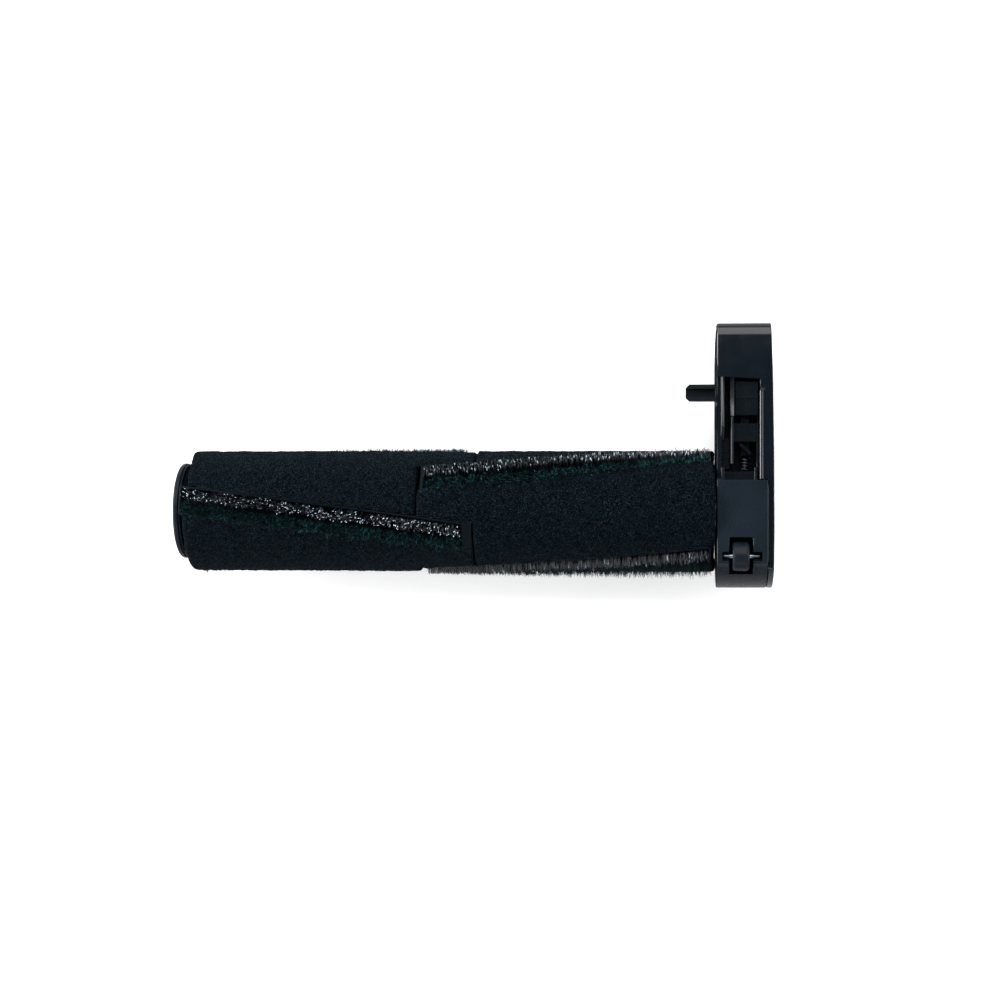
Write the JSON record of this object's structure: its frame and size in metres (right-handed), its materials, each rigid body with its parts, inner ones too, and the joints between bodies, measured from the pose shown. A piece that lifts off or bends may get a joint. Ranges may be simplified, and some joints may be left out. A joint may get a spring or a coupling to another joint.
{
  "type": "floor scrubber brush roller cartridge",
  "caption": "Removable brush roller with velour pads, chevron bristle strips, a drive socket and a side cap with a floor wheel and a sprung latch.",
  "frame": {"origin": "middle of the footprint, on the surface that the back of the side cap lies on", "axes": "+X along the roller axis towards the side cap, +Y to the rear of the cleaning head, +Z to the side that faces the floor in use"},
  "size_m": [0.271, 0.1184, 0.0586],
  "materials": {
    "gloss_black_plastic": "gloss moulded, fine wipe marks",
    "satin_black_plastic": "fine spark-eroded satin",
    "grey_plastic": "dark grey satin extrusion",
    "velour": "dense black looped nap",
    "stiff_bristle": "clear grey nylon filament with bright cut tips",
    "soft_fibre": "soft dark green fibre",
    "steel": "ground bright",
    "bronze": "sintered, oil filled",
    "rubber": "smooth worn tread"
  },
  "bodies": {
    "side_cap": {"inner_frame": "satin_black_plastic", "outer_cover": "gloss_black_plastic", "locating_tongue": "satin_black_plastic", "stub_axle": "steel", "axle_circlip": "steel", "thrust_washer": "steel", "cover_screw_1": "steel", "cover_screw_2": "steel", "cover_screw_3": "steel", "cover_screw_4": "steel", "wheel_axle": "steel", "latch_spring": "steel"},
    "roller": {"core_tube": "satin_black_plastic", "drive_end_disc": "gloss_black_plastic", "idle_end_plug": "satin_black_plastic", "bearing_bush": "bronze", "lip_seal": "rubber", "velour_pad_left_1": "velour", "velour_pad_left_2": "velour", "velour_pad_left_3": "velour", "velour_pad_right_1": "velour", "velour_pad_right_2": "velour", "velour_pad_right_3": "velour", "strip_carrier_left_1": "grey_plastic", "strip_carrier_left_2": "grey_plastic", "strip_carrier_left_3": "grey_plastic", "strip_carrier_right_1": "grey_plastic", "strip_carrier_right_2": "grey_plastic", "strip_carrier_right_3": "grey_plastic", "stiff_bristles_left_1": "stiff_bristle", "stiff_bristles_left_2": "stiff_bristle", "stiff_bristles_left_3": "stiff_bristle", "stiff_bristles_right_1": "stiff_bristle", "stiff_bristles_right_2": "stiff_bristle", "stiff_bristles_right_3": "stiff_bristle", "soft_fibres_left_1": "soft_fibre", "soft_fibres_left_2": "soft_fibre", "soft_fibres_left_3": "soft_fibre", "soft_fibres_right_1": "soft_fibre", "soft_fibres_right_2": "soft_fibre", "soft_fibres_right_3": "soft_fibre"},
    "floor_wheel": {"wheel_hub": "satin_black_plastic", "wheel_tyre": "rubber"},
    "latch_slider": {"release_slider": "satin_black_plastic"}
  },
  "joints": [
    {"name": "roller_spin", "type": "hinge", "parent": "side_cap", "child": "roller", "pos_m": [0.10221, -0.02475, 0.0294], "axis": [1, 0, 0], "continuous": true},
    {"name": "wheel_spin", "type": "hinge", "parent": "side_cap", "child": "floor_wheel", "pos_m": [0.12071, -0.04425, 0.0497], "axis": [1, 0, 0], "continuous": true},
    {"name": "release_slide", "type": "slide", "parent": "side_cap", "child": "latch_slider", "axis": [0, -1, 0], "range_m": [0, 0.003], "stiffness_N_per_m": 250, "springref_m": -0.003, "deforming": ["latch_spring"]}
  ]
}
